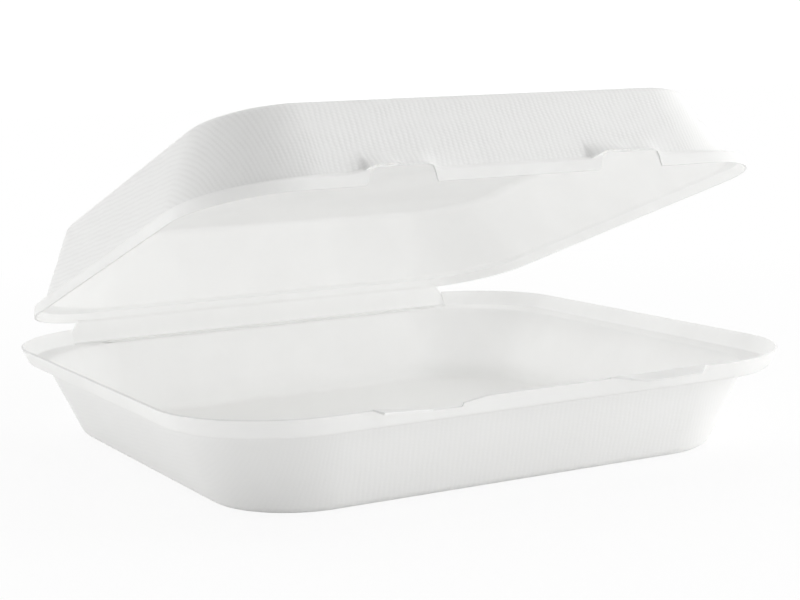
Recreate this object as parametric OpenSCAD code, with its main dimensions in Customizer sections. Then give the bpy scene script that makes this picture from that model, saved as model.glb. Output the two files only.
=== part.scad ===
// Hinged clamshell food box, pressed from sugar-cane pulp in one sheet.
// The tray, the hinge strip and the lid are parted only at the two creases that bend.
// Origin: centre of the tray's floor on the table. +X right, +Y towards the hinge, +Z up.

/* [Sheet] */
// Thickness of the pressed pulp
sheet_t = 0.7; // [0.5:0.05:1]
// Rounding where a floor turns up into a wall
floor_bend_r = 5; // [3:0.5:8]
// Rounding where a wall turns out into a flange or a lip
rim_bend_r = 1.1; // [0.9:0.1:1.3]

/* [Tray] */
// Width of the flat floor, left to right
tray_floor_w = 190; // [180:1:215]
// Depth of the flat floor, front to back
tray_floor_d = 180; // [170:1:205]
// Corner radius of the floor
tray_floor_r = 30; // [22:1:36]
// How far the wall leans outwards from floor to flange
tray_wall_run = 13.2; // [10:0.2:17]
// Height of the flange's underside above the table
tray_wall_h = 28.9; // [25:0.1:40]
// Width of the flange at the front and the sides
tray_flange_w = 5.4; // [4:0.2:8]
// Width of the flange at the back, up to the crease
tray_back_flange_w = 1.5; // [1.4:0.1:3]
// Corner radius of the flange's edge, squarer than the wall
tray_rim_r = 40; // [34:1:43]
// Height of the lip above the flange's underside
tray_lip_h = 6.1; // [4.5:0.1:7]
// How far the lip leans outwards
tray_lip_run = 2.8; // [1.5:0.1:3.4]

/* [Lid] */
// Width of the flat top panel
lid_top_w = 188; // [178:1:192]
// Corner radius of the top panel
lid_top_r = 28; // [22:1:34]
// How far the wall leans outwards from top panel to flange
lid_wall_run = 12.3; // [10:0.1:14]
// Height of the wall from top panel to flange
lid_wall_h = 27.2; // [24:0.1:40]
// Width of the flange at the front and the sides
lid_flange_w = 1.5; // [1.3:0.1:3]
// Width of the flange at the back
lid_back_flange_w = 5; // [4:0.2:7]
// Corner radius of the flange's edge, squarer than the wall
lid_rim_r = 32.6; // [32:0.2:36]
// Depth of the skirt below the flange
lid_skirt_h = 4.6; // [3.8:0.1:6]
// How far the skirt leans outwards
lid_skirt_run = 0.4; // [0:0.1:1]
// Room between the lid's front skirt and the tray's lip when shut
nest_gap = 0.5; // [0.5:0.1:1.2]

/* [Hinge] */
// Width of the strip between its two creases
strip_w = 8.4; // [7.6:0.1:9.4]
// Length of the strip, left to right
strip_len = 166; // [120:1:170]
// Thickness of the strip
strip_t = 0.6; // [0.4:0.05:0.8]
// Parting between the strip and the tray or the lid at a crease
crease_room = 0.35; // [0.33:0.01:0.45]
// How far the strip leans back as the box stands, from upright
strip_lean = 8; // [0:0.5:12]
// How far the lid stands open, from level
lid_open = 17.5; // [10:0.5:60]
// How far the shut lid dips at the front, from level
shut_dip = 1.3; // [1:0.1:1.6]

/* [Latches] */
// Distance of each latch from the middle of the front
latch_x = 42.5; // [38:0.5:50]
// Width of the dip pressed in the tray's lip
dip_w = 39; // [34:0.5:44]
// Depth of that dip
dip_h = 2.7; // [1.5:0.1:3]
// Length of the dip's inner ramp
dip_ramp = 9; // [6:0.5:11]
// Length of the tongue folded out of the lip
tongue_len = 19; // [14:0.5:21]
// How far the tongue reaches out
tongue_out = 3.2; // [2:0.1:4]
// How far the tongue's edge drops
tongue_drop = 2.6; // [1.5:0.1:3.2]
// Width of the notch in the lid's skirt
notch_w = 25; // [20:0.5:28]
// Slant of the notch's ends
notch_slant = 1.6; // [0:0.1:2.5]
// Height of the arch above the lid's flange at a notch
arch_rise = 1.9; // [1:0.1:2.4]
// Length of each ramp of the arch
arch_ramp = 6; // [4:0.5:8]
// Height of the pocket pressed out of the lid's wall above a notch
pocket_h = 7; // [5:0.2:9]

/* [Hidden] */
$fn = 96;
pulp = "#ece9e2";
// Steps of a rounded bend
bend_steps = 5;
// Reach of a cutting block beyond what it cuts
past = 10;

// Distance from a crease line to the end of the sheet beyond it
crease_gap = strip_t / 2 + crease_room;

// Tray: corner centres of the wall, then of the rim
tray_wall_cx = tray_floor_w / 2 - tray_floor_r;
tray_wall_cy = tray_floor_d / 2 - tray_floor_r;
tray_top_r = tray_floor_r + tray_wall_run;
tray_rim_cx = tray_floor_w / 2 + tray_wall_run + tray_flange_w - tray_rim_r;
tray_rim_front = -(tray_floor_d / 2 + tray_wall_run + tray_flange_w);
crease_y = tray_floor_d / 2 + tray_wall_run + tray_back_flange_w;
crease_z = tray_wall_h + sheet_t / 2;
tray_rim_z = tray_wall_h + tray_lip_h;
tray_lip_y = tray_rim_front - tray_lip_run;

// Lid, in its own frame: middle of the crease at y = 0, z = 0, closed way up
lid_rim_z = lid_skirt_h + lid_wall_h;
lid_slope = lid_wall_run / lid_wall_h;
// Where the lid's front edge stops inside the tray's lip when shut
shut_edge_z = crease_z + strip_w - (crease_y - tray_rim_front) * sin(shut_dip);
shut_lip_y = tray_rim_front - tray_lip_run * (shut_edge_z - tray_wall_h) / tray_lip_h + 1.1 * sheet_t;
shut_lean = strip_lean - (lid_open + shut_dip) / 2;
lid_front = shut_lip_y + nest_gap - crease_y - strip_w * sin(shut_lean);
lid_foot_front = lid_front + lid_skirt_run + lid_flange_w;
lid_back = sheet_t / 2;
lid_foot_back = lid_back - lid_skirt_run - lid_back_flange_w;
lid_mid_y = (lid_foot_front + lid_foot_back) / 2;
lid_wall_cx = lid_top_w / 2 - lid_top_r;
lid_foot_r = lid_top_r + lid_wall_run;
lid_wall_cy = (lid_foot_back - lid_foot_front) / 2 - lid_foot_r;
lid_rim_cx = lid_top_w / 2 + lid_wall_run + lid_flange_w - lid_rim_r;
lid_rim_y0 = lid_front + lid_skirt_run + lid_rim_r;
lid_rim_y1 = lid_back - lid_skirt_run - lid_rim_r;

// Upper crease as the box stands
lid_crease_y = crease_y + strip_w * sin(strip_lean);
lid_crease_z = crease_z + strip_w * cos(strip_lean);

function unit(v) = v / norm(v);
function left_of(v) = [-v[1], v[0]];
function wrap(a) = a > 180 ? a - 360 : (a < -180 ? a + 360 : a);
function angle_of(v) = atan2(v[1], v[0]);

// Points of an arc that rounds the corner b of the path a, b, c
function bend(a, b, c, r) =
    let (
        u = unit(a - b),
        v = unit(c - b),
        half = acos(u * v) / 2,
        centre = b + unit(u + v) * r / sin(half),
        from = b + u * r / tan(half) - centre,
        to = b + v * r / tan(half) - centre,
        turn = wrap(angle_of(to) - angle_of(from))
    )
    [for (i = [0:bend_steps])
        let (a = angle_of(from) + turn * i / bend_steps)
        centre + r * [cos(a), sin(a)]];

// A path with its inner corners rounded, radii[i] at corner i + 1
function rounded(path, radii) =
    concat(
        [path[0]],
        [for (i = [1:len(path) - 2])
            each bend(path[i - 1], path[i], path[i + 1], radii[i - 1])],
        [path[len(path) - 1]]
    );

// A path thickened to its left: out along the path, back along the offset one
function side(path, i) = left_of(unit(path[i + 1] - path[i]));
function miter(path, i) =
    i == 0 ? side(path, 0)
    : (i == len(path) - 1 ? side(path, i - 1)
    : (side(path, i - 1) + side(path, i)) / (1 + side(path, i - 1) * side(path, i)));
function sheet(path, t) =
    concat(path, [for (i = [len(path) - 1:-1:0]) path[i] + t * miter(path, i)]);

// One section carried round a rounded rectangle, x of the section measured from the corner centres
module swept(cx, y0, y1) {
    spots = [[cx, y1], [-cx, y1], [-cx, y0], [cx, y0]];
    runs = [y1 - y0, 2 * cx, y1 - y0, 2 * cx];
    for (k = [0:3])
        translate([spots[k][0], spots[k][1], 0])
            rotate([0, 0, 90 * k]) {
                rotate_extrude(angle = 90)
                    children();
                rotate([90, 0, 0])
                    linear_extrude(height = runs[k])
                        children();
            }
}

// Flat rounded rectangle with corner centres at +-cx, y0 and y1
module plate(cx, y0, y1, r) {
    for (x = [-cx, cx])
        for (y = [y0, y1])
            translate([x, y])
                circle(r);
    translate([-cx - r, y0])
        square([2 * (cx + r), y1 - y0]);
    translate([-cx, y0 - r])
        square([2 * cx, y1 - y0 + 2 * r]);
}

// Flange between the top of a wall and a rim of another corner radius
module flange(wall_cx, wall_y0, wall_y1, wall_r, rim_cx, rim_y0, rim_y1, rim_r, z) {
    translate([0, 0, z])
        linear_extrude(height = sheet_t)
            difference() {
                plate(rim_cx, rim_y0, rim_y1, rim_r - rim_bend_r);
                plate(wall_cx, wall_y0, wall_y1, wall_r + 0.8 * rim_bend_r);
            }
}

// Floor and leaning wall of a pan that opens upwards, ending in a short outward turn
module pan(cx, y0, y1, floor_r, run, h) {
    turn_w = 1.15 * rim_bend_r;
    path = rounded(
        [[0, 0], [floor_r, 0], [floor_r + run, h], [floor_r + run + turn_w, h]],
        [floor_bend_r, rim_bend_r]
    );
    swept(cx, y0, y1)
        polygon(sheet(path, sheet_t));
    translate([-cx, y0, 0])
        cube([2 * cx, y1 - y0, sheet_t]);
}

// Lip that rises from a flange edge of radius r
module lip(cx, y0, y1, r, run, z, h) {
    path = rounded(
        [[r - 2 * rim_bend_r, z], [r, z], [r + run, z + h]],
        [rim_bend_r]
    );
    swept(cx, y0, y1)
        polygon(sheet(path, sheet_t));
}

// Block that runs across the part along X, its section drawn in Y and Z
module across(x0, x1) {
    translate([x0, 0, 0])
        rotate([90, 0, 90])
            linear_extrude(height = x1 - x0)
                children();
}

// Block that runs along Y, its section drawn in X and Z
module along(y0, y1) {
    translate([0, y1, 0])
        rotate([90, 0, 0])
            linear_extrude(height = y1 - y0)
                children();
}

// Each latch is mirrored about the middle of the front
module both_latches() {
    for (s = [0, 1])
        mirror([s, 0, 0])
            children();
}

// Dip pressed into the tray's lip, seen from the front
module lip_dip() {
    low = tray_rim_z - dip_h;
    x0 = latch_x - dip_w / 2;
    x1 = latch_x + dip_w / 2;
    along(tray_lip_y - past, tray_rim_front + 2 * rim_bend_r)
        polygon([
            [x0 - dip_ramp, tray_rim_z + dip_h],
            [x0, tray_rim_z],
            [x0 + dip_ramp, low],
            [x1 - tongue_len, low],
            [x1, tray_rim_z],
            [x1 + dip_ramp, tray_rim_z + dip_h]
        ]);
}

// Tongue folded outwards from the dip's outer end
module lip_tongue() {
    x1 = latch_x + dip_w / 2;
    x0 = x1 - tongue_len;
    root_y = tray_lip_y + sheet_t;
    top_z = tray_rim_z - 0.3 * dip_h;
    intersection() {
        across(x0, x1)
            polygon(sheet([
                [root_y - tongue_out, top_z - tongue_drop],
                [root_y + sheet_t, top_z]
            ], sheet_t));
        linear_extrude(height = 2 * tray_rim_z)
            polygon([
                [x0, root_y],
                [x0, root_y + past],
                [x1, root_y + past],
                [x1, root_y - tongue_out],
                [x1 - 0.2 * tongue_len, root_y - tongue_out]
            ]);
    }
}

module base_tray() {
    rim_y0 = tray_rim_front + tray_rim_r;
    rim_y1 = crease_y - tray_rim_r;
    cut_x = strip_len / 2 + 1;
    color(pulp) {
        difference() {
            union() {
                pan(tray_wall_cx, -tray_wall_cy, tray_wall_cy, tray_floor_r, tray_wall_run, tray_wall_h);
                flange(
                    tray_wall_cx, -tray_wall_cy, tray_wall_cy, tray_top_r,
                    tray_rim_cx, rim_y0, rim_y1, tray_rim_r, tray_wall_h
                );
                lip(tray_rim_cx, rim_y0, rim_y1, tray_rim_r, tray_lip_run, tray_wall_h, tray_lip_h);
            }
            both_latches()
                lip_dip();
            // The strip takes the lip's place along the crease
            translate([-cut_x, crease_y - crease_gap, tray_wall_h - past])
                cube([2 * cut_x, past, 2 * past + tray_lip_h]);
            translate([-cut_x, crease_y - 2, tray_wall_h + sheet_t])
                cube([2 * cut_x, past, past + tray_lip_h]);
        }
        both_latches()
            lip_tongue();
    }
}

// The strip ends in a round bead on each crease line
module hinge_strip() {
    color(pulp)
        translate([-strip_len / 2, crease_y, crease_z])
            rotate([-strip_lean, 0, 0]) {
                translate([0, -strip_t / 2, 0])
                    cube([strip_len, strip_t, strip_w]);
                for (z = [0, strip_w])
                    translate([0, 0, z])
                        rotate([0, 90, 0])
                            cylinder(r = strip_t / 2, h = strip_len, $fn = 24);
            }
}

// Pocket pressed out of the lid's front wall above a notch, t inside its outer face
module pocket(t) {
    arch_z = lid_skirt_h + arch_rise;
    top_z = lid_skirt_h + pocket_h;
    top_y = lid_foot_front + pocket_h * lid_slope;
    half = notch_w / 2 + arch_ramp / 2 - t;
    floor_z = lid_skirt_h - sheet_t - 3 * t;
    intersection() {
        across(latch_x - half, latch_x + half)
            polygon([
                [lid_front + t, floor_z],
                [lid_front + t, arch_z - 0.5 * t],
                [top_y + 1.1 * t, top_z - 0.5 * t],
                [top_y + 1.1 * t + 0.2, floor_z]
            ]);
        along(lid_front - past, top_y + past)
            polygon([
                [latch_x - half, floor_z],
                [latch_x - half, lid_skirt_h - t],
                [latch_x - half + arch_ramp, top_z],
                [latch_x + half - arch_ramp, top_z],
                [latch_x + half, lid_skirt_h - t],
                [latch_x + half, floor_z]
            ]);
    }
}

// Notch in the lid's skirt that the tray's tongue comes through
module notch() {
    x0 = latch_x - notch_w / 2;
    x1 = latch_x + notch_w / 2;
    arch_z = lid_skirt_h + arch_rise;
    along(lid_front - past, lid_front + 1.5 * sheet_t)
        polygon([
            [x0 - notch_slant, -past],
            [x0, arch_z - 0.6],
            [x0 + 0.6, arch_z],
            [x1 - arch_ramp, arch_z],
            [x1, lid_skirt_h - sheet_t],
            [x1 + notch_slant / 2, -past]
        ]);
}

// The lid closed way up, its crease along X through the origin
module lid_level() {
    cut_x = strip_len / 2 + 1;
    difference() {
        union() {
            // Drawn as a pan that opens upwards, then turned over
            translate([0, 0, lid_rim_z])
                mirror([0, 0, 1]) {
                    translate([0, lid_mid_y, 0])
                        pan(lid_wall_cx, -lid_wall_cy, lid_wall_cy, lid_top_r, lid_wall_run, lid_wall_h);
                    flange(
                        lid_wall_cx, lid_mid_y - lid_wall_cy, lid_mid_y + lid_wall_cy, lid_foot_r,
                        lid_rim_cx, lid_rim_y0, lid_rim_y1, lid_rim_r, lid_wall_h
                    );
                    lip(
                        lid_rim_cx, lid_rim_y0, lid_rim_y1,
                        lid_rim_r, lid_skirt_run, lid_wall_h, lid_skirt_h
                    );
                }
            both_latches()
                pocket(0);
        }
        both_latches() {
            pocket(sheet_t);
            notch();
        }
        // The skirt stops short of the crease
        translate([-cut_x, lid_back - 2, -past])
            cube([2 * cut_x, past, past + crease_gap]);
    }
}

module lid() {
    color(pulp)
        translate([0, lid_crease_y, lid_crease_z])
            rotate([-lid_open, 0, 0])
                lid_level();
}

base_tray();
hinge_strip();
lid();
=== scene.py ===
import math

import bmesh
import bpy
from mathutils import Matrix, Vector


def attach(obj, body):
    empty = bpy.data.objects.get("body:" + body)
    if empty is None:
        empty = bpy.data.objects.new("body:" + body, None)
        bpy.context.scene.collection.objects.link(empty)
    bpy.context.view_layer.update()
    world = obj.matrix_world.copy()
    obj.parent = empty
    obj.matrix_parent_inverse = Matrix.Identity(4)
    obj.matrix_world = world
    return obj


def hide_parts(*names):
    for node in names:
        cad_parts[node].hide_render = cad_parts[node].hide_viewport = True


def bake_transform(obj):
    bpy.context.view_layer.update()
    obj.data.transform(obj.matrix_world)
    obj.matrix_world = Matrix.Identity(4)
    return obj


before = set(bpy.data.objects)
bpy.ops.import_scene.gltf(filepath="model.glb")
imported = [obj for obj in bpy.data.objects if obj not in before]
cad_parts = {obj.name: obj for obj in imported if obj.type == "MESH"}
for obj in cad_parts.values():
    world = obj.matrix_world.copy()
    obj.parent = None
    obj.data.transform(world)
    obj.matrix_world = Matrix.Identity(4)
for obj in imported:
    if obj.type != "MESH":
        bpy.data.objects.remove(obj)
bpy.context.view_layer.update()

mm = 0.001
sheetThickness = 0.7 * mm
print("frame loaded")


# Camera and light

view = {
    "place": (-0.30608, -0.57876, 0.14221),
    "yaw": 28.451,     # turned from +Y towards +X, degrees
    "pitch": 7.955,    # looking down
    "roll": -1.635,
    "sensor": 36,
    "focal": 1783.75 / 800 * 36,    # focal length in pixels, over the frame's 800, times the sensor
}


def addCamera():
    yaw, pitch, roll = (math.radians(view[k]) for k in ("yaw", "pitch", "roll"))
    ahead = Vector((math.sin(yaw) * math.cos(pitch), math.cos(yaw) * math.cos(pitch), -math.sin(pitch)))
    level = Vector((math.cos(yaw), -math.sin(yaw), 0))
    above = level.cross(ahead)
    right = level * math.cos(roll) + above * math.sin(roll)
    up = above * math.cos(roll) - level * math.sin(roll)
    bpy.ops.object.camera_add(location=view["place"])
    camera = bpy.context.object
    camera.name = "camera"
    camera.rotation_mode = "QUATERNION"
    turn = camera.matrix_world.to_3x3()
    for row in range(3):
        turn[row] = (right[row], up[row], -ahead[row])
    camera.rotation_quaternion = turn.to_quaternion()
    camera.data.lens = view["focal"]
    camera.data.sensor_width = view["sensor"]
    camera.data.clip_start = 0.01
    bpy.context.scene.camera = camera


studio = {
    "sky": 1.08,                       # plain white surround
    "shade": (-0.45, -0.62, 0.64),     # middle of the dark part of the room, over the camera's side
    "shadeEdge": (0.35, 0.95),         # cosines from its middle where it fades in and is full
    "shadeDepth": 1.0,
    "floor": "#F8F8F8",
    "floorSize": 8,
    "floorGlow": (0.88, 1.0),          # share of the sweep that photographs as pure white, near and far
    "glowReach": (0.15, 0.6),          # where near ends and far starts, m
    "boxes": [
        # name, place, target, width, height, watts
        ("boxTop", (0.1, 0.25, 1.1), (0, 0.02, 0.05), 1.0, 1.0, 1.0),
        ("boxFront", (0.50, -0.92, 0.10), (0.03, -0.05, 0.05), 1.2, 0.3, 2.8),
        ("boxRight", (0.75, -0.45, 0.35), (0.1, -0.08, 0.06), 0.5, 0.5, 2.1),
        ("boxLeft", (-0.82, 0.3, 0.14), (-0.1, 0, 0.05), 0.7, 0.28, 1.8),
        ("boxTray", (-0.1, -0.95, 0.55), (0, -0.02, 0), 0.9, 0.3, 1.0),
    ],
}


def addSoftbox(name, place, target, width, height, watts):
    bpy.ops.object.light_add(type="AREA", location=place)
    lamp = bpy.context.object
    lamp.name = name
    aim = Vector(target) - Vector(place)
    lamp.rotation_mode = "QUATERNION"
    lamp.rotation_quaternion = aim.to_track_quat("-Z", "Y")
    lamp.data.shape = "RECTANGLE"
    lamp.data.size = width
    lamp.data.size_y = height
    lamp.data.energy = watts
    lamp.visible_camera = False


def makeStage():
    # seamless white sweep: the camera sees it nearly pure white, the box gets only its bounce
    bpy.ops.mesh.primitive_plane_add(size=studio["floorSize"], location=(0, 0, 0))
    floor = bpy.context.object
    floor.name = "floor"
    material, tree = newMaterial("white paper sweep")
    colour = linear(studio["floor"])
    paper = addNode(tree, "ShaderNodeBsdfPrincipled", {"Base Color": colour, "Roughness": 0.9})
    white = addNode(tree, "ShaderNodeEmission", {"Color": (1, 1, 1, 1), "Strength": 1.0})
    rays = addNode(tree, "ShaderNodeLightPath")
    place = addNode(tree, "ShaderNodeTexCoord").outputs["Object"]
    reach = addNode(tree, "ShaderNodeVectorMath", {"operation": "LENGTH"}, {0: place}).outputs["Value"]
    (near, far), (start, end) = studio["floorGlow"], studio["glowReach"]
    glow = addNode(
        tree, "ShaderNodeMapRange",
        {"From Min": start, "From Max": end, "To Min": near, "To Max": far},
        {"Value": reach},
    )
    share = maths(tree, "MULTIPLY", rays.outputs["Is Camera Ray"], glow.outputs["Result"])
    whole = mixShaders(tree, share, paper.outputs[0], white.outputs[0])
    addNode(tree, "ShaderNodeOutputMaterial", None, {"Surface": whole})
    floor.data.materials.append(material)

    world = bpy.data.worlds.new("studio")
    bpy.context.scene.world = world
    world.use_nodes = True
    tree = world.node_tree
    tree.nodes.clear()
    rays = addNode(tree, "ShaderNodeLightPath")
    way = addNode(tree, "ShaderNodeTexCoord").outputs["Generated"]
    facing = addNode(tree, "ShaderNodeVectorMath", {"operation": "DOT_PRODUCT"}, {0: way})
    facing.inputs[1].default_value = Vector(studio["shade"]).normalized()
    start, end = studio["shadeEdge"]
    dark = 1 - studio["shadeDepth"]
    shade = addNode(
        tree, "ShaderNodeMapRange",
        {
            "interpolation_type": "SMOOTHSTEP",
            "From Min": start, "From Max": end, "To Min": 1.0, "To Max": dark,
        },
        {"Value": facing.outputs["Value"]},
    )
    dim = maths(tree, "MULTIPLY", shade.outputs["Result"], studio["sky"])
    power = maths(tree, "MAXIMUM", dim, rays.outputs["Is Camera Ray"])
    sky = addNode(tree, "ShaderNodeBackground", {"Color": (1, 1, 1, 1)}, {"Strength": power})
    addNode(tree, "ShaderNodeOutputWorld", None, {"Surface": sky.outputs[0]})
    for box in studio["boxes"]:
        addSoftbox(*box)


# Materials


def linear(hexColour):
    # sRGB hex to the linear colour that the shader takes
    parts = [int(hexColour[i:i + 2], 16) / 255 for i in (1, 3, 5)]
    return tuple(p / 12.92 if p <= 0.04045 else ((p + 0.055) / 1.055) ** 2.4 for p in parts) + (1,)


def addNode(tree, kind, settings=None, links=None):
    # one node, its settings by name and its links as input: socket
    node = tree.nodes.new(kind)
    for key, value in (settings or {}).items():
        if key in node.inputs:
            node.inputs[key].default_value = value
        else:
            setattr(node, key, value)
    for key, socket in (links or {}).items():
        tree.links.new(socket, node.inputs[key])
    return node


def newMaterial(name):
    material = bpy.data.materials.new(name)
    material.use_nodes = True
    material.node_tree.nodes.clear()
    return material, material.node_tree


pulp = {
    "smooth": "#F4F4F3",
    "floor": "#FCFCFB",             # tray's floor, set lighter to match its level in the photo: painted light for the light that reaches the floor in the real box
    "smoothPatch": "#F0F0EF",       # slightly thicker, duller patches
    "mesh": "#F1F1F0",
    "meshHollowShade": "#E6E6E5",        # painted shade: greyer between the ribs, darkening the hollows of their relief
    "edge": "#F2F2F1",
    "patchSize": 0.03,              # m
    "edgePatchSize": 0.004,
    "fibreScale": 1400.0,           # per m: real fibres are finer, this is as fine as shows
    "fibreDepth": 0.08 * mm,
    "ribPitch": 1.86,               # mm between ribs of the forming mesh
    "crossPitch": 1.35,             # mm between the dashes along a rib
    "weaveTurn": 6.7,               # how far the mesh lay askew, degrees
    "ribDepth": 0.05 * mm,
    "drift": 1.8,                   # mm that a rib wanders
    "glow": "#FCFCFB",              # colour of the light that comes through
    "through": 0.34,                # share of light that a thin sheet lets through
    "meshThrough": 0.16,            # the same from the rougher outer side
    "floorThrough": 0.05,           # the same through the floor that stands on the table
    "floorHeight": (0.5 * mm, 9 * mm),    # where the floor's look ends and the wall's starts
}


def finishPulp(tree, colour, roughness, normal, through=None):
    # through is the share of light that passes on into the sheet, which then leaves by its far side
    shader = addNode(
        tree, "ShaderNodeBsdfPrincipled",
        {"Roughness": roughness, "IOR": 1.47},
        {"Base Color": colour, "Normal": normal},
    )
    surface = shader.outputs["BSDF"]
    if through is not None:
        passing = addNode(tree, "ShaderNodeBsdfTranslucent", {"Color": linear(pulp["glow"])})
        surface = mixShaders(tree, through, surface, passing.outputs["BSDF"])
    inside = addNode(tree, "ShaderNodeNewGeometry").outputs["Backfacing"]
    clear = addNode(tree, "ShaderNodeBsdfTransparent").outputs["BSDF"]
    whole = mixShaders(tree, inside, surface, clear)
    addNode(tree, "ShaderNodeOutputMaterial", None, {"Surface": whole})


def mixShaders(tree, share, first, second):
    mix = addNode(tree, "ShaderNodeMixShader", None, {1: first, 2: second})
    if isinstance(share, float):
        mix.inputs[0].default_value = share
    else:
        tree.links.new(share, mix.inputs[0])
    return mix.outputs[0]


def blendColour(tree, share, first, second):
    # a colour or a socket on either side
    mix = addNode(tree, "ShaderNodeMix", {"data_type": "RGBA"})
    tree.links.new(share, mix.inputs[0])
    for slot, colour in ((6, first), (7, second)):
        if isinstance(colour, tuple):
            mix.inputs[slot].default_value = colour
        else:
            tree.links.new(colour, mix.inputs[slot])
    return mix.outputs[2]


def patchColour(tree, place, base, patch, size):
    # cloudy patches where the fibres settled unevenly
    cloud = addNode(
        tree, "ShaderNodeTexNoise",
        {"Scale": 1 / size, "Detail": 3.0, "Roughness": 0.5},
        {"Vector": place},
    )
    share = addNode(
        tree, "ShaderNodeMapRange",
        {"From Min": 0.4, "From Max": 0.65},
        {"Value": cloud.outputs["Fac"]},
    )
    return blendColour(tree, share.outputs["Result"], linear(base), linear(patch))


def maths(tree, kind, first, second=None):
    node = addNode(tree, "ShaderNodeMath", {"operation": kind})
    for slot, value in enumerate((first, second)):
        if isinstance(value, (int, float)):
            node.inputs[slot].default_value = value
        elif value is not None:
            tree.links.new(value, node.inputs[slot])
    return node.outputs[0]


def fibreBump(tree, place, strength, after=None):
    # short fine fibres felt and seen only close up
    fibre = addNode(
        tree, "ShaderNodeTexNoise",
        {"Scale": pulp["fibreScale"], "Detail": 4.0, "Roughness": 0.65},
        {"Vector": place},
    )
    links = {"Height": fibre.outputs["Fac"]}
    if after:
        links["Normal"] = after
    bump = addNode(tree, "ShaderNodeBump", {"Strength": strength, "Distance": pulp["fibreDepth"]}, links)
    return bump.outputs["Normal"]


def pulpSmooth(name, standing):
    # bleached bagasse pulp, hot-pressed against the polished tool: even, matt, hardly any grain
    material, tree = newMaterial(name)
    place = addNode(tree, "ShaderNodeTexCoord").outputs["Object"]
    colour = patchColour(tree, place, pulp["smooth"], pulp["smoothPatch"], pulp["patchSize"])
    through = pulp["through"]
    if standing:
        # hardly any light comes up through the floor that stands on the table
        low, high = pulp["floorHeight"]
        height = addNode(tree, "ShaderNodeSeparateXYZ", None, {"Vector": place}).outputs["Z"]
        rise = addNode(
            tree, "ShaderNodeMapRange",
            {"From Min": low, "From Max": high},
            {"Value": height},
        ).outputs["Result"]
        # painted light: the floor takes the lighter floor colour, fading to the wall's colour with height
        colour = blendColour(tree, rise, linear(pulp["floor"]), colour)
        through = addNode(
            tree, "ShaderNodeMapRange",
            {"To Min": pulp["floorThrough"], "To Max": through},
            {"Value": rise},
        ).outputs["Result"]
    finishPulp(tree, colour, 0.75, fibreBump(tree, place, 0.12), through)
    return material


def pulpMesh(name, relief):
    # the side that lay on the forming mesh: fine woven ribs, broken into short dashes
    material, tree = newMaterial(name)
    place = addNode(tree, "ShaderNodeTexCoord").outputs["Object"]
    grain = addNode(tree, "ShaderNodeUVMap", {"uv_map": "grain"}).outputs["UV"]
    drift = addNode(tree, "ShaderNodeTexNoise", {"Scale": 0.09, "Detail": 2.0}, {"Vector": grain})
    push = addNode(
        tree, "ShaderNodeVectorMath",
        {"operation": "MULTIPLY_ADD"},
        {0: drift.outputs["Color"], 2: grain},
    )
    push.inputs[1].default_value = (pulp["drift"], pulp["drift"], 0)
    turned = addNode(
        tree, "ShaderNodeVectorRotate",
        {"rotation_type": "Z_AXIS", "Angle": math.radians(pulp["weaveTurn"])},
        {"Vector": push.outputs[0]},
    )
    parts = addNode(tree, "ShaderNodeSeparateXYZ", None, {"Vector": turned.outputs[0]})
    across = maths(tree, "MULTIPLY", parts.outputs["X"], 2 * math.pi / pulp["ribPitch"])
    down = maths(tree, "MULTIPLY", parts.outputs["Y"], 2 * math.pi / pulp["crossPitch"])
    rib = maths(tree, "COSINE", across)
    half = maths(tree, "COSINE", maths(tree, "MULTIPLY", across, 0.5))
    knot = maths(tree, "MULTIPLY", half, maths(tree, "COSINE", down))
    weave = maths(tree, "ADD", maths(tree, "MULTIPLY", rib, 0.6), maths(tree, "MULTIPLY", knot, 0.5))
    # the print is fainter in places
    worn = addNode(tree, "ShaderNodeTexNoise", {"Scale": 0.16, "Detail": 4.0}, {"Vector": grain})
    share = addNode(
        tree, "ShaderNodeMapRange",
        {"From Min": 0.3, "From Max": 0.62, "To Min": 0.25},
        {"Value": worn.outputs["Fac"]},
    )
    weave = maths(tree, "MULTIPLY", weave, share.outputs["Result"])
    ribs = addNode(
        tree, "ShaderNodeBump",
        {"Strength": relief, "Distance": pulp["ribDepth"]},
        {"Height": weave},
    )
    # painted shade: the hollows between the ribs get the greyer colour, as much as the relief is deep
    hollowShade = addNode(
        tree, "ShaderNodeMapRange",
        {"From Min": 0.2, "From Max": -1.0, "To Max": relief},
        {"Value": weave},
    )
    cloudy = patchColour(tree, place, pulp["mesh"], pulp["smoothPatch"], pulp["patchSize"])
    colour = blendColour(tree, hollowShade.outputs["Result"], cloudy, linear(pulp["meshHollowShade"]))
    normal = fibreBump(tree, place, 0.3, ribs.outputs["Normal"])
    finishPulp(tree, colour, 0.85, normal, pulp["meshThrough"])
    return material


def pulpEdge():
    # die-cut edge of the sheet: fuzzy with torn fibre ends, and it lets no light in
    material, tree = newMaterial("bagasse die-cut edge")
    place = addNode(tree, "ShaderNodeTexCoord").outputs["Object"]
    colour = patchColour(tree, place, pulp["edge"], pulp["smoothPatch"], pulp["edgePatchSize"])
    finishPulp(tree, colour, 0.9, fibreBump(tree, place, 0.8))
    return material


# Modelling helpers, all in edit mode on the active object


def selectOnly(kind, test):
    # kind is edges or faces, and test sees each one
    bpy.ops.mesh.select_mode(type={"edges": "EDGE", "faces": "FACE"}[kind])
    bpy.ops.mesh.select_all(action="DESELECT")
    shape = bmesh.from_edit_mesh(bpy.context.edit_object.data)
    for part in [part for part in getattr(shape, kind) if test(part)]:
        part.select_set(True)
    bmesh.update_edit_mesh(bpy.context.edit_object.data)


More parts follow.
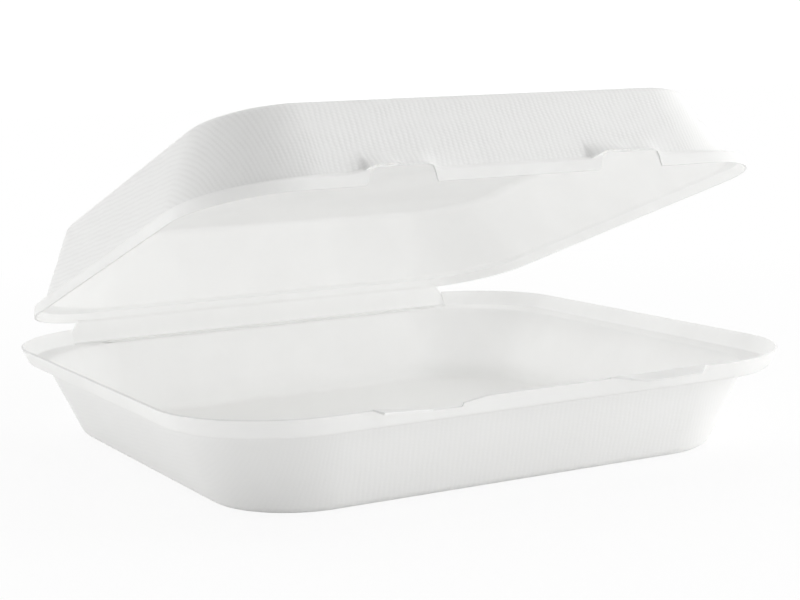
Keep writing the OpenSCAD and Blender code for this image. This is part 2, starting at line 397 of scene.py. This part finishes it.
def addOutline(ring, cornerSteps):
    # rounded rectangle as a face, from a plane whose corners are bevelled
    z, halfX, front, back, radius = (value * mm for value in ring)
    middle = (0, (front + back) / 2, z)
    bpy.ops.mesh.primitive_plane_add(size=2, location=middle)
    if bpy.context.mode != "EDIT_MESH":
        bpy.ops.object.transform_apply(location=True, rotation=False, scale=False)
        bpy.ops.object.mode_set(mode="EDIT")
    bpy.ops.transform.resize(value=(halfX, (back - front) / 2, 1), center_override=middle)
    bpy.ops.mesh.bevel(affect="VERTICES", offset=radius, segments=cornerSteps, profile=0.5)


def loftShell(name, rings, cornerSteps):
    # first ring keeps its face, and each next ring is bridged to the open edge
    bpy.ops.object.select_all(action="DESELECT")
    addOutline(rings[0], cornerSteps)
    shell = bpy.context.edit_object
    shell.name = name
    for ring in rings[1:]:
        bpy.ops.mesh.select_all(action="DESELECT")
        addOutline(ring, cornerSteps)
        bpy.ops.mesh.delete(type="ONLY_FACE")
        selectOnly("edges", lambda e: e.is_boundary or e.is_wire)
        bpy.ops.mesh.bridge_edge_loops()
    return shell


def cutAt(axis, values):
    # extra edge lines across the whole shell
    for value in values:
        spot = [0, 0, 0]
        spot[axis] = value * mm
        normal = [0, 0, 0]
        normal[axis] = 1
        bpy.ops.mesh.select_all(action="SELECT")
        bpy.ops.mesh.bisect(plane_co=spot, plane_no=normal)


def arc(a, b, c, radius, steps):
    # points that round the corner b of the path a, b, c
    a, b, c = Vector(a), Vector(b), Vector(c)
    u, v = (a - b).normalized(), (c - b).normalized()
    half = u.angle(v) / 2
    reach = radius / math.tan(half)
    centre = b + (u + v).normalized() * radius / math.sin(half)
    first, last = b + u * reach - centre, b + v * reach - centre
    sweep = first.angle_signed(last)
    points = []
    for i in range(steps + 1):
        angle = -sweep * i / steps
        x = first.x * math.cos(angle) - first.y * math.sin(angle)
        y = first.x * math.sin(angle) + first.y * math.cos(angle)
        points.append((centre.x + x, centre.y + y))
    return points


def finishMesh(piece):
    bpy.ops.object.mode_set(mode="OBJECT")
    bpy.ops.object.select_all(action="DESELECT")
    piece.select_set(True)
    bpy.context.view_layer.objects.active = piece
    bpy.ops.object.transform_apply(location=True, rotation=True, scale=True)


def addModifier(piece, kind, settings):
    modifier = piece.modifiers.new(kind.lower(), kind)
    for key, value in settings.items():
        setattr(modifier, key, value)
    bpy.context.view_layer.objects.active = piece
    bpy.ops.object.modifier_apply(modifier=modifier.name)


def press(relief):
    # moves each vertex by what relief gives for its place in mm
    shape = bmesh.from_edit_mesh(bpy.context.edit_object.data)
    for vert in shape.verts:
        step = relief(*(vert.co / mm))
        if step:
            vert.co += Vector(step) * mm
    bmesh.update_edit_mesh(bpy.context.edit_object.data)


def ease(value, low, high):
    # 0 below low, 1 above high, smooth between
    t = min(max((value - low) / (high - low), 0), 1)
    return t * t * (3 - 2 * t)


def deleteFaces(test):
    selectOnly("faces", lambda f: test(*(f.calc_center_median() / mm)))
    bpy.ops.mesh.delete(type="FACE")


def faceOutwards(outside):
    # all normals one way, then turned if the largest face looks away from outside
    bpy.ops.mesh.select_all(action="SELECT")
    bpy.ops.mesh.remove_doubles(threshold=0.00002)
    bpy.ops.mesh.normals_make_consistent(inside=False)
    shape = bmesh.from_edit_mesh(bpy.context.edit_object.data)
    panel = max(shape.faces, key=lambda f: abs(f.normal.dot(Vector(outside))) * f.calc_area())
    if panel.normal.dot(Vector(outside)) < 0:
        bpy.ops.mesh.flip_normals()


def between(a, b, count):
    # points evenly between two ends of a straight stretch
    points = []
    for i in range(1, count + 1):
        points.append((a[0] + (b[0] - a[0]) * i / (count + 1), a[1] + (b[1] - a[1]) * i / (count + 1)))
    return points


def drapeGrain(shell, start, level, sign, lean):
    # lays the forming mesh over the mould: distances in mm measured along the surface
    halfX, front, back = start
    lengthen = math.sqrt(1 + lean * lean) - lean
    layer = shell.data.uv_layers.new(name="grain")
    for loop in shell.data.loops:
        spot = shell.data.vertices[loop.vertex_index].co / mm
        corner = Vector((min(max(spot.x, -halfX), halfX), min(max(spot.y, front), back)))
        away = Vector((spot.x, spot.y)) - corner
        depth = max((spot.z - level) * sign, 0)
        if away.length > 0.001:
            away *= 1 + lengthen * depth / away.length
        layer.data[loop.index].uv = corner + away


def markSmooth(shell, test):
    # lip and skirt were pressed smooth on both sides, so they take the second three materials
    for face in shell.data.polygons:
        if test(*(face.center / mm)):
            face.material_index = 3


def thicken(shell, materials, side):
    # side is -1 for a sheet that grows inwards from the mesh, and 0 for one on both sides of it
    for material in materials:
        shell.data.materials.append(material)
    addModifier(shell, "SOLIDIFY", {
        "thickness": sheetThickness, "offset": side, "use_even_offset": False,
        "material_offset": 1, "material_offset_rim": 2,
    })
    bpy.ops.object.select_all(action="DESELECT")
    shell.select_set(True)
    bpy.ops.object.shade_smooth_by_angle(angle=math.radians(35))


# Tray

tray = {
    "floor": (95.0, 90.0, 30.0),          # half width, half depth, corner radius
    "floorBend": 5.0,
    "wallRun": 13.2,
    "wallTop": 28.1,                      # underside of the flange at the wall
    "wallBend": 1.4,
    "rim": (113.6, -108.6, 104.7, 40.0),  # half width, front, back, corner radius of the lip's foot
    "flangeRun": 5.4,                     # width of the flange's slope beside the wall
    "flangeEdge": 28.9,
    "lipBend": 1.8,
    "lipRun": 2.8,
    "lipTop": 35.0,
    "hingeHalf": 85.6,                    # half length left open for the hinge
    "hingeStart": 103.4,
    "dip": (23, 31, 42, 63),              # lip's dip: starts, lowest from, rises from, ends
    "dipDepth": {-1: 2.7, 1: 0.3},        # left latch is pushed in, the right one stands
    "tongueRoot": {-1: (42, 63), 1: (24, 63)},
    "tongueReach": 3.2,
    "tongueDrop": {-1: 0.25, 1: 0.55},    # how far each tongue hangs for its reach
    "tongueSlant": {-1: 2.0, 1: 4.5},
    "drape": (65, -60, 60),               # half width, front and back of where the mesh starts to bend
}


def trayRings():
    halfX, halfY, floorR = tray["floor"]
    top = (tray["wallRun"], tray["wallTop"])
    edge = (top[0] + tray["flangeRun"], tray["flangeEdge"])
    inner = arc((-20, 0), (0, 0), top, tray["floorBend"], 6)
    bend = arc((0, 0), top, edge, tray["wallBend"], 4)
    wall = inner + between(inner[-1], bend[0], 4) + bend
    rings = [(z, halfX + d, -halfY - d, halfY + d, floorR + d) for d, z in wall]
    rimX, front, back, rimR = tray["rim"]
    lipTop = (tray["lipRun"], tray["lipTop"])
    foot = arc((-tray["flangeRun"], top[1]), (0, edge[1]), lipTop, tray["lipBend"], 4)
    lip = foot + [(lipTop[0] * 0.4, edge[1] * 0.6 + lipTop[1] * 0.4), lipTop]
    rings += [(z, rimX + e, front - e, back + e, rimR + e) for e, z in lip]
    return rings


def lipDip(x):
    start, low, rise, end = tray["dip"]
    depth = tray["dipDepth"][-1 if x < 0 else 1]
    x = abs(x)
    if x < low:
        return depth * 0.55 * min(max((x - start) / (low - start), 0), 1)
    return depth * min(max((end - x) / (end - rise), 0), 1)


def lowerLip(x, y, z):
    # the lip's top edge dips along its own slope at each latch
    if y < -110 and z > tray["lipTop"] - 0.1:
        drop = lipDip(x)
        return (0, drop * tray["lipRun"] / (tray["lipTop"] - tray["flangeEdge"]), -drop)


def straightenBack(x, y, z):
    # the flange's back edge runs straight to both ends of the hinge
    if abs(x) < tray["hingeHalf"] - 0.1 and 101.8 < y < 104.6 and abs(z - tray["flangeEdge"]) < 0.6:
        return (0, tray["hingeStart"] - y, tray["flangeEdge"] - z)


def foldTongues():
    # each tongue is drawn out of the lip's edge, widest near its outer end
    for side in (-1, 1):
        start, end = tray["tongueRoot"][side]
        slant = tray["tongueSlant"][side]
        low, high = sorted((side * start, side * end))

        def onLip(e):
            middle = (e.verts[0].co + e.verts[1].co) / 2 / mm
            runsAlong = abs(e.verts[0].co.x - e.verts[1].co.x) > 0.01 * mm
            atLip = middle.y < -109 and middle.z > 31 and low - 0.01 < middle.x < high + 0.01
            return e.is_boundary and atLip and runsAlong

        selectOnly("edges", onLip)
        bpy.ops.mesh.extrude_edges_move(TRANSFORM_OT_translate={"value": (0, -0.01 * mm, -0.01 * mm)})
        shape = bmesh.from_edit_mesh(bpy.context.edit_object.data)
        for vert in shape.verts:
            if vert.select:
                along = (abs(vert.co.x / mm) - start) / (end - start)
                wide = along if side < 0 else ease(along, 0, 0.4)
                reach = tray["tongueReach"] * wide
                inwards = slant * max(along * 4 - 3, 0)
                vert.co += Vector((-side * inwards, -reach, -tray["tongueDrop"][side] * reach)) * mm
        bmesh.update_edit_mesh(bpy.context.edit_object.data)


def makeTray():
    shell = loftShell("trayShell", trayRings(), 18)
    start, low, rise, end = tray["dip"]
    columns = [start, (start + low) / 2, low - 0.2, low + 0.2, rise, end, end + 0.15, 83, tray["hingeHalf"]]
    columns += [start + 1, low + (rise - low) / 2]
    columns += [rise + (end - rise) * i / 8 for i in range(1, 8)]
    cutAt(0, sorted(x * side for x in columns + [8, 15, 68, 74] for side in (-1, 1)) + [0])
    cutAt(1, range(-96, 97, 12))
    level = tray["flangeEdge"] - 0.15

    def atHinge(x, y, z):
        # lip and outer flange stop short of the hinge
        return abs(x) < tray["hingeHalf"] and y > 99 and z > level and (y > 102.2 or z > 29.6)

    deleteFaces(atHinge)
    press(lowerLip)
    press(straightenBack)
    faceOutwards((0, 0, -1))
    foldTongues()
    finishMesh(shell)
    markSmooth(shell, lambda x, y, z: z > tray["flangeEdge"] + 0.1)
    drapeGrain(shell, tray["drape"], 0, 1, tray["wallRun"] / tray["wallTop"])
    return shell


# Lid, modelled level with the crease along X at y = 0, z = 0, then opened

lid = {
    "top": (94.0, -199.4, -17.4, 28.0, 31.8),   # half width, front, back, corner radius, height
    "topBend": 5.0,
    "wallRun": 12.3,
    "foot": 5.0,                                # height of the wall's foot over the skirt's edge
    "footBend": 1.2,
    "rim": (107.8, -213.2, -0.05, 32.6),        # half width, front, back, corner radius
    "flangeEdge": 3.9,
    "skirtBend": 1.0,
    "skirtRun": 0.4,
    "open": 17.5,
    "crease": (105.87, 37.57),
    "latches": ((-59.0, 4.4), (27.0, 1.8)),     # left end of each latch, and its bulge's flank from there
    "notch": (6.0, 27.9),
    "notchSlant": (-2.8, 0.6),                  # how far the notch's lower corners stand out
    "notchEase": 6.0,                           # length of skirt that follows them
    "notchTop": 3.3,
    "archRise": 2.4,
    "archEnds": (0, 9, 26, 31.5),               # starts, full from, full to, ends
    "bulgeTop": 12.0,
    "bulgeFace": (-1.1, 6.4),                   # bulge's foot off the rim, and how far its top leans back
    "bulgeEnd": (16.5, 4.0),                    # its other end, and how much sooner it ends at the top
    "hingeGap": 0.9,                            # the hinge sheet starts this far up the skirt
    "drape": (66, -171.4, -45.4),               # half width, front and back of where the mesh starts to bend
}


def lidRings():
    halfX, front, back, topR, topZ = lid["top"]
    foot = (lid["wallRun"], lid["foot"])
    edge = (foot[0] + 1.5, lid["flangeEdge"])
    upper = arc((-20, topZ), (0, topZ), foot, lid["topBend"], 6)
    lower = arc((0, topZ), foot, edge, lid["footBend"], 3)
    wall = upper + between(upper[-1], lower[0], 9) + lower
    rings = [(z, halfX + d, front - d, back + d, topR + d) for d, z in wall]
    rimX, rimFront, rimBack, rimR = lid["rim"]
    skirt = arc((-1.5, lid["foot"]), (0, edge[1]), (lid["skirtRun"], 0), lid["skirtBend"], 3)
    skirt += [(lid["skirtRun"] * 0.7, 2.0), (lid["skirtRun"] * 0.9, lid["hingeGap"]), (lid["skirtRun"], 0)]
    rings += [(z, rimX + e, rimFront - e, rimBack + e, rimR + e) for e, z in skirt]
    return rings


def pressLatches(x, y, z):
    # a bulge pressed out of the wall, and the flange arched over the notch
    if y > -190 or z > lid["bulgeTop"] + 1 or z < 1.5:
        return None
    for start, flank in lid["latches"]:
        u = x - start
        if -3 < u < 34:
            first, full, last, end = lid["archEnds"]
            arch = lid["archRise"] * ease(u, first, full) * (1 - ease(u, last, end))
            rise = arch * (1 - ease(z, lid["foot"], lid["bulgeTop"]))
            foot = lid["flangeEdge"] + arch
            t = min(max((z + rise - foot) / (lid["bulgeTop"] - foot), 0), 1)
            faceY = lid["rim"][1] + lid["bulgeFace"][0] + t * lid["bulgeFace"][1]
            right = lid["bulgeEnd"][0] - lid["bulgeEnd"][1] * t
            share = ease(u, flank - 0.8, flank + 0.8) * (1 - ease(u, right - 1.5, right + 1.0))
            out = min(faceY - y, 0) * share
            if z < lid["flangeEdge"] + 0.1:
                out = 0
            return (0, out, rise)
    return None


def slantNotches(x, y, z):
    # lower corners of each notch lean away from its middle, and the skirt beside them follows
    top = lid["notchTop"]
    if y > -210 or z > top:
        return None
    for start, flank in lid["latches"]:
        for side, slant in zip(lid["notch"], lid["notchSlant"]):
            beside = (x - start - side) * (1 if slant > 0 else -1)
            if -0.05 < beside < lid["notchEase"]:
                return (slant * (1 - z / top) * (1 - beside / lid["notchEase"]), 0, 0)
    return None


def makeLid():
    shell = loftShell("lidShell", lidRings(), 18)
    columns = []
    for start, flank in lid["latches"]:
        columns += [start + flank + u for u in (-0.8, -0.3, 0.3, 0.8)]
        columns += [start + u for u in (-2, 8, 11, 13, 15, 17, 20, 24, 26, 29.5, 31.5)]
        columns += [start + u for u in lid["notch"]]
    cutAt(0, sorted(columns) + [-83, 83, -74, 74, 68, -68, -8, 8])
    cutAt(1, range(-192, -15, 16))
    level = lid["flangeEdge"] - 0.5
    for start, flank in lid["latches"]:
        first, last = (start + u for u in lid["notch"])
        deleteFaces(lambda x, y, z: first < x < last and y < -210 and z < level)
    # the hinge sheet takes the skirt's place along the back
    deleteFaces(lambda x, y, z: abs(x) < hinge["half"] and y > -2 and z < lid["hingeGap"])
    press(slantNotches)
    press(pressLatches)
    faceOutwards((0, 0, 1))
    finishMesh(shell)
    markSmooth(shell, lambda x, y, z: z < lid["foot"] + 0.1)
    height = lid["top"][4]
    drapeGrain(shell, lid["drape"], height, -1, lid["wallRun"] / (height - lid["foot"]))
    shell.location = (0, lid["crease"][0] * mm, lid["crease"][1] * mm)
    shell.rotation_euler = (math.radians(-lid["open"]), 0, 0)
    bpy.ops.object.transform_apply(location=True, rotation=True, scale=True)
    return shell


# Hinge, one thin sheet in two halves that meet half way up the strip

hinge = {
    "half": 83.0,                                    # half length
    "flare": 2.9,                                    # each end spreads towards the tray
    "creases": ((104.7, 29.25), (105.87, 37.57)),
    "bend": 0.8,                                     # radius of the lower crease
    "start": (103.4, 29.25),                         # where it leaves the tray's flange
    "columns": 40,
}


def bendSheet(name, path):
    # a grid laid along the path, which bends between two bodies across one crease
    bpy.ops.object.select_all(action="DESELECT")
    rows = len(path) - 1
    bpy.ops.mesh.primitive_grid_add(x_subdivisions=hinge["columns"], y_subdivisions=rows, size=2)
    sheet = bpy.context.object
    sheet.name = name
    bpy.ops.object.mode_set(mode="EDIT")
    foot, top = hinge["creases"][0][1], hinge["creases"][1][1]

    def layOut(x, y, z):
        row = round((y * mm + 1) / 2 * rows)
        spotY, spotZ = path[row]
        upwards = min(max((top - spotZ) / (top - foot), 0), 1)
        spotX = x * mm * (hinge["half"] + hinge["flare"] * min(upwards * 2, 1))
        return (spotX - x, spotY - y, spotZ - z)

    press(layOut)
    faceOutwards((0, 0.7, -0.7))
    finishMesh(sheet)
    return sheet


def makeHinge():
    (lowY, lowZ), (highY, highZ) = hinge["creases"]
    along = Vector((highY - lowY, highZ - lowZ)).normalized()
    tilt = math.radians(lid["open"])
    skirt = Vector((math.sin(tilt), math.cos(tilt)))
    lowCrease, highCrease = Vector((lowY, lowZ)), Vector((highY, highZ))
    middle = (lowCrease + highCrease) / 2
    path = [hinge["start"]]
    path += arc(hinge["start"], (lowY, lowZ), tuple(middle), hinge["bend"], 6)
    path += [tuple(lowCrease + along * reach) for reach in (1.2, 2.0, 3.0)] + [tuple(middle)]
    lower = bendSheet("hingeLower", path)
    path = [tuple(middle)]
    path += [tuple(highCrease - along * reach) for reach in (3.0, 2.0, 1.2, 0.8, 0.5, 0.25)]
    path += [(highY, highZ)] + [tuple(highCrease + skirt * reach) for reach in (0.25, 0.5, lid["hingeGap"])]
    upper = bendSheet("hingeUpper", path)
    return lower, upper, (lowCrease, highCrease, along, skirt)


def place(spot):
    # a point of the hinge's outline, in metres
    return (0, spot[0] * mm, spot[1] * mm)


addCamera()
print("camera placed")

standing = pulpSmooth("bagasse hot-pressed smooth, standing, floor painted lighter", True)
smooth = pulpSmooth("bagasse hot-pressed smooth", False)
lidMesh = pulpMesh("bagasse formed on wire mesh", 0.85)
trayMesh = pulpMesh("bagasse formed on wire mesh, flattened", 0.22)
edge = pulpEdge()
print("materials ready")

trayShell = makeTray()
print("tray lofted", len(trayShell.data.vertices))
lidShell = makeLid()
print("lid lofted", len(lidShell.data.vertices))
hingeLower, hingeUpper, lines = makeHinge()
print("hinge sheets laid")

# outer face, inner face and cut edge of the grained parts, then the same of the smooth parts
thicken(trayShell, (trayMesh, standing, edge, smooth, standing, edge), -1)
thicken(lidShell, (lidMesh, smooth, edge, smooth, smooth, edge), -1)
thicken(hingeLower, (smooth, smooth, edge), 0)
thicken(hingeUpper, (smooth, smooth, edge), 0)
print("sheets thickened")

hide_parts("base_tray")
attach(trayShell, "tray")
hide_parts("lid")
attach(lidShell, "cover")

lowCrease, highCrease, along, skirt = lines
for sheet in (hingeLower, hingeUpper):
    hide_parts("hinge_strip")
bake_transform(hingeLower)
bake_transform(hingeUpper)

makeStage()
bpy.context.scene.view_settings.view_transform = "Standard"
print("stage lit")
